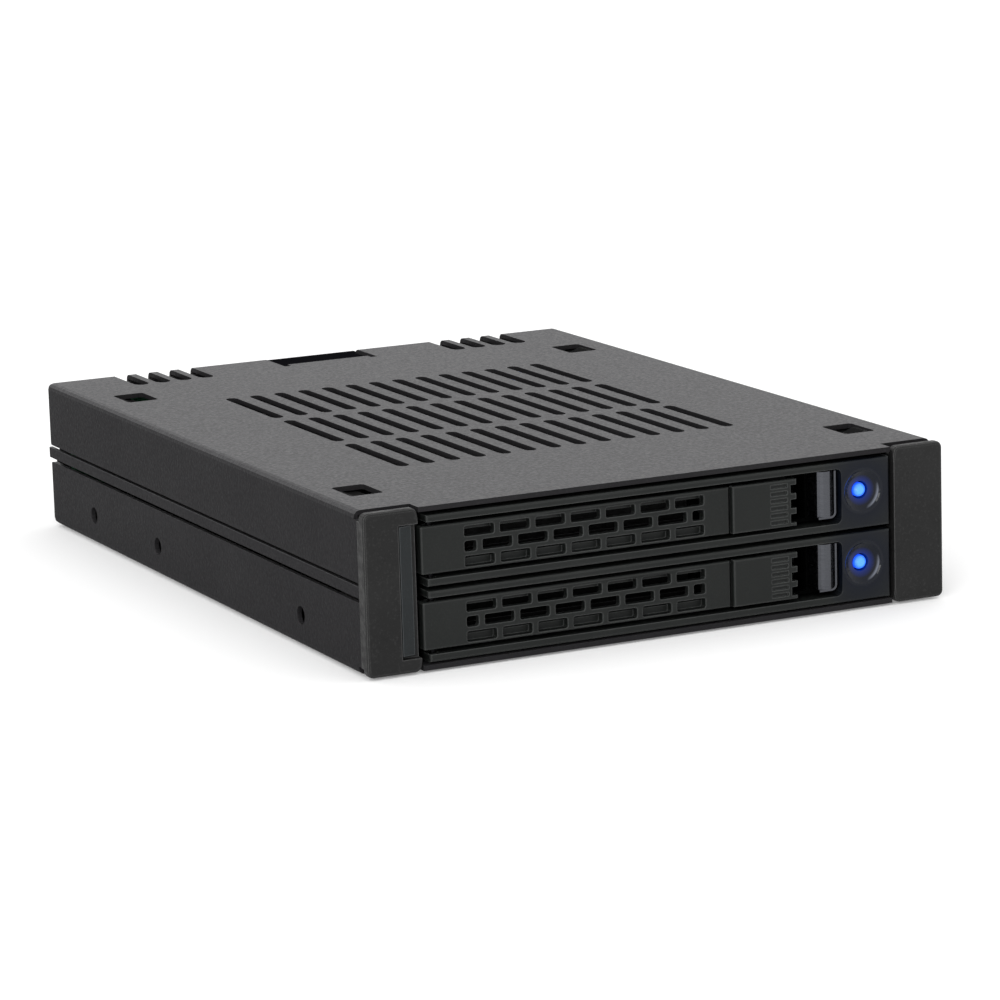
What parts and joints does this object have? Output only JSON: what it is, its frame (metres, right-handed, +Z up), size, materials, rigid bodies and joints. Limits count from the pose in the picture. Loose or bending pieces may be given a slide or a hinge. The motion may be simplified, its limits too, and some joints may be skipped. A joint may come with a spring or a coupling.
{
  "type": "drive mobile rack",
  "caption": "Low steel cage with stacked slide-out drive trays, each with a vented swing lever, a ribbed latch and an indicator lamp.",
  "frame": {"origin": "middle of the footprint, on the underside", "axes": "+X to the right seen from the front, front faces -Y, +Z up"},
  "size_m": [0.1016, 0.1432, 0.0254],
  "materials": {
    "steel_paint": "fine textured powder coat, dark grey",
    "ear_plastic": "sparked matte black plastic",
    "tray_plastic": "satin black plastic",
    "guide_plastic": "plain black plastic",
    "bright_metal": "satin bright metal",
    "spring_steel": "bare zinc-plated steel",
    "board": "green circuit board",
    "connector": "black connector plastic",
    "lamp": "blue indicator lens",
    "clear": "clear acrylic light pipe"
  },
  "bodies": {
    "cage": {"top_cover": "steel_paint", "bottom_chassis": "steel_paint", "side_rail_left": "steel_paint", "side_rail_right": "steel_paint", "guide_left": "guide_plastic", "guide_right": "guide_plastic", "bezel_ear_left": "ear_plastic", "bezel_ear_right": "ear_plastic", "ear_insert": "ear_plastic", "bay_divider": "spring_steel", "backplane_board": "board", "drive_connector_lower": "connector", "drive_connector_upper": "connector", "data_port_left": "connector", "data_port_right": "connector", "power_port": "connector", "rear_panel": "steel_paint", "status_led_lower": "lamp", "status_led_upper": "lamp", "board_screw_1": "spring_steel", "board_screw_2": "spring_steel", "board_screw_3": "spring_steel", "board_screw_4": "spring_steel"},
    "tray_lower": {"tray_front_lower": "tray_plastic", "tray_sled_lower": "guide_plastic", "led_lens_lower": "lamp", "light_pipe_lower": "clear", "strike_lower": "bright_metal", "sled_screw_lower_1": "spring_steel", "sled_screw_lower_2": "spring_steel", "hinge_pin_lower": "spring_steel", "lever_spring_lower": "spring_steel"},
    "lever_body_lower": {"lever_lower": "tray_plastic", "latch_spring_lower": "spring_steel"},
    "latch_body_lower": {"latch_lower": "tray_plastic"},
    "tray_upper": {"tray_front_upper": "tray_plastic", "tray_sled_upper": "guide_plastic", "led_lens_upper": "lamp", "light_pipe_upper": "clear", "strike_upper": "bright_metal", "sled_screw_upper_1": "spring_steel", "sled_screw_upper_2": "spring_steel", "hinge_pin_upper": "spring_steel", "lever_spring_upper": "spring_steel"},
    "lever_body_upper": {"lever_upper": "tray_plastic", "latch_spring_upper": "spring_steel"},
    "latch_body_upper": {"latch_upper": "tray_plastic"}
  },
  "joints": [
    {"name": "tray_lower_slide", "type": "slide", "parent": "cage", "child": "tray_lower", "axis": [0, -1, 0], "range_m": [0, 0.11]},
    {"name": "lever_lower_hinge", "type": "hinge", "parent": "tray_lower", "child": "lever_body_lower", "pos_m": [-0.0391, -0.0696, 0.0067], "axis": [0, 0, -1], "range_deg": [0, 80]},
    {"name": "latch_lower_slide", "type": "slide", "parent": "lever_body_lower", "child": "latch_body_lower", "axis": [1, 0, 0], "range_m": [0, 0.0028], "stiffness_N_per_m": 150},
    {"name": "tray_upper_slide", "type": "slide", "parent": "cage", "child": "tray_upper", "axis": [0, -1, 0], "range_m": [0, 0.11]},
    {"name": "lever_upper_hinge", "type": "hinge", "parent": "tray_upper", "child": "lever_body_upper", "pos_m": [-0.0391, -0.0696, 0.01845], "axis": [0, 0, -1], "range_deg": [0, 80]},
    {"name": "latch_upper_slide", "type": "slide", "parent": "lever_body_upper", "child": "latch_body_upper", "axis": [1, 0, 0], "range_m": [0, 0.0028], "stiffness_N_per_m": 150}
  ]
}
